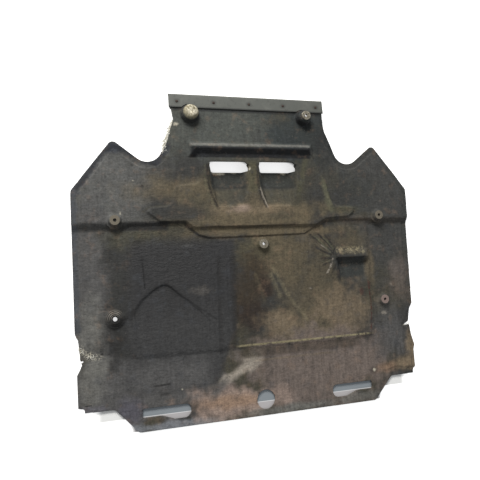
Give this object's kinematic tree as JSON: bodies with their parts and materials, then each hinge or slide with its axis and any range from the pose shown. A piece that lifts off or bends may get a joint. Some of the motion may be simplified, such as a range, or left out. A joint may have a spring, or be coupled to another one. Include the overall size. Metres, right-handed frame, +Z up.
{
  "type": "sump guard",
  "caption": "Pressed fibre-sheet guard bolted under an engine, with scooped air windows, raised bosses with steel eyelets, front slots and a riveted rear strip.",
  "frame": {"origin": "middle of the bounding box, on the floor that the sheet lies on", "axes": "+X to the right across the sheet seen from the engine side, +Y towards the rear strip, +Z up to the engine side"},
  "size_m": [0.948, 0.8601, 0.0546],
  "materials": {
    "sheet": "felted fibre sheet, oil-black and dusty",
    "strip": "weathered grey",
    "eyelet": "dull zinc, mud in the corners",
    "rivet": "dark, rusted"
  },
  "bodies": {
    "root": {"panel": "sheet", "seal_strip": "strip", "eyelet_rear_right": "eyelet", "eyelet_upper_left": "eyelet", "eyelet_centre": "eyelet", "eyelet_upper_right": "eyelet", "eyelet_lower_right": "eyelet", "strip_rivet_1": "rivet", "strip_rivet_2": "rivet", "strip_rivet_3": "rivet", "strip_rivet_4": "rivet", "strip_rivet_5": "rivet"}
  },
  "joints": []
}
